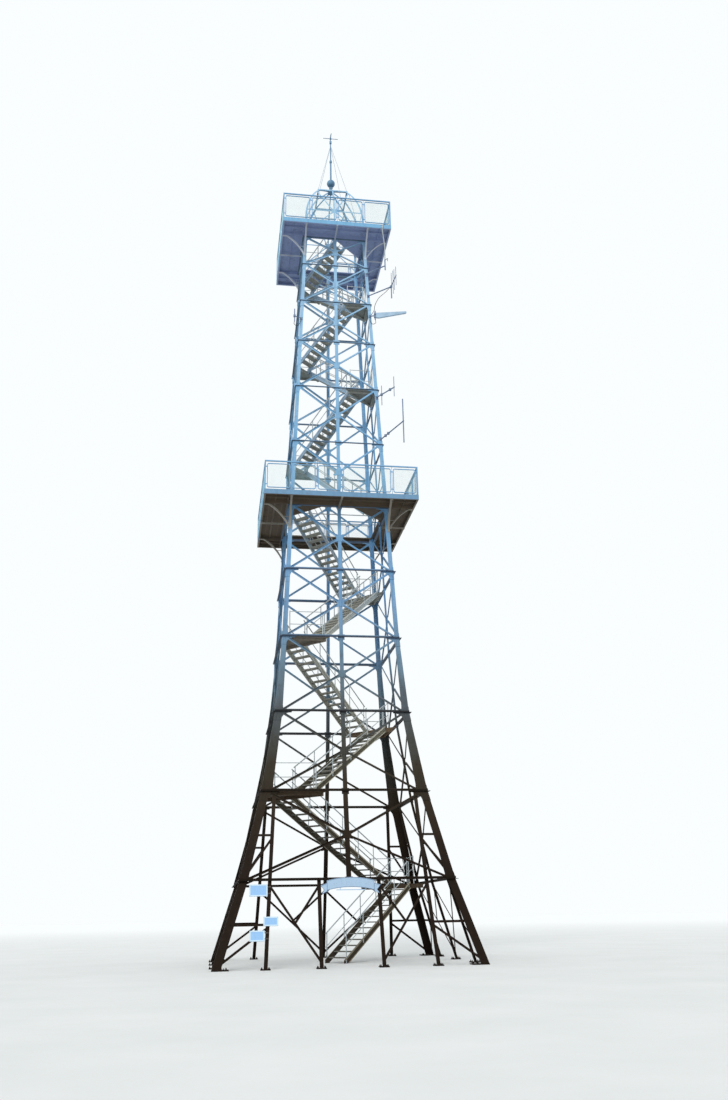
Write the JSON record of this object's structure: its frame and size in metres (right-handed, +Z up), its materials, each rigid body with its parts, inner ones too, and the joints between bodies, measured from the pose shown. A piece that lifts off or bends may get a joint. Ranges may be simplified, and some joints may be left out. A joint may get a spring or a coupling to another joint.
{
  "type": "fire lookout tower",
  "caption": "Steel lattice fire lookout tower with a stair inside the shaft, two railed viewing platforms and a crown with a mast.",
  "frame": {"origin": "on the ground, at the middle of the square of feet", "axes": "+Z up; the entrance side faces -Y; +X to the right of someone facing the entrance"},
  "size_m": [8.67, 8.67, 35.72],
  "materials": {
    "tower_paint": "pale blue-grey paint on riveted steel, weathered, browner near the ground",
    "deck_steel": "weathered boards and joists with a pale blue fascia",
    "parapet_paint": "pale blue paint, a little brighter than the lattice",
    "stair_paint": "grey paint, worn along the edges",
    "tread_steel": "brown-grey weathered treads",
    "landing_steel": "brown-grey weathered landing boards and beams",
    "galvanised": "hot-dip galvanised, satin",
    "mast_paint": "pale blue-grey paint",
    "antenna_metal": "off-white covers and dull metal booms",
    "sign_white": "pale bluish white enamel, satin, bare"
  },
  "bodies": {
    "root": {"leg_front_left": "tower_paint", "leg_front_right": "tower_paint", "leg_back_right": "tower_paint", "leg_back_left": "tower_paint", "raker_front_left": "tower_paint", "raker_front_right": "tower_paint", "raker_back_right": "tower_paint", "raker_back_left": "tower_paint", "front_base_left": "tower_paint", "front_base_right": "tower_paint", "right_base": "tower_paint", "back_base": "tower_paint", "left_base": "tower_paint", "lower_lattice_front": "tower_paint", "lower_lattice_right": "tower_paint", "lower_lattice_back": "tower_paint", "lower_lattice_left": "tower_paint", "upper_lattice_front": "tower_paint", "upper_lattice_right": "tower_paint", "upper_lattice_back": "tower_paint", "upper_lattice_left": "tower_paint", "lower_deck": "deck_steel", "upper_deck": "deck_steel", "lower_brackets": "tower_paint", "upper_brackets": "tower_paint", "lower_parapet": "parapet_paint", "upper_parapet": "parapet_paint", "flight_1": "stair_paint", "flight_2": "stair_paint", "flight_3": "stair_paint", "flight_4": "stair_paint", "flight_5": "stair_paint", "flight_6": "stair_paint", "flight_7": "stair_paint", "flight_8": "stair_paint", "flight_9": "stair_paint", "flight_10": "stair_paint", "flight_11": "stair_paint", "flight_12": "stair_paint", "stair_treads": "tread_steel", "landings": "landing_steel", "lower_handrails": "galvanised", "upper_handrails": "galvanised", "stairwell_guards": "galvanised", "crown_ribs": "tower_paint", "crown_bracing": "tower_paint", "crown": "tower_paint", "mast": "mast_paint", "antennas": "antenna_metal", "entrance_banner": "sign_white", "notice_boards": "sign_white"}
  },
  "joints": []
}
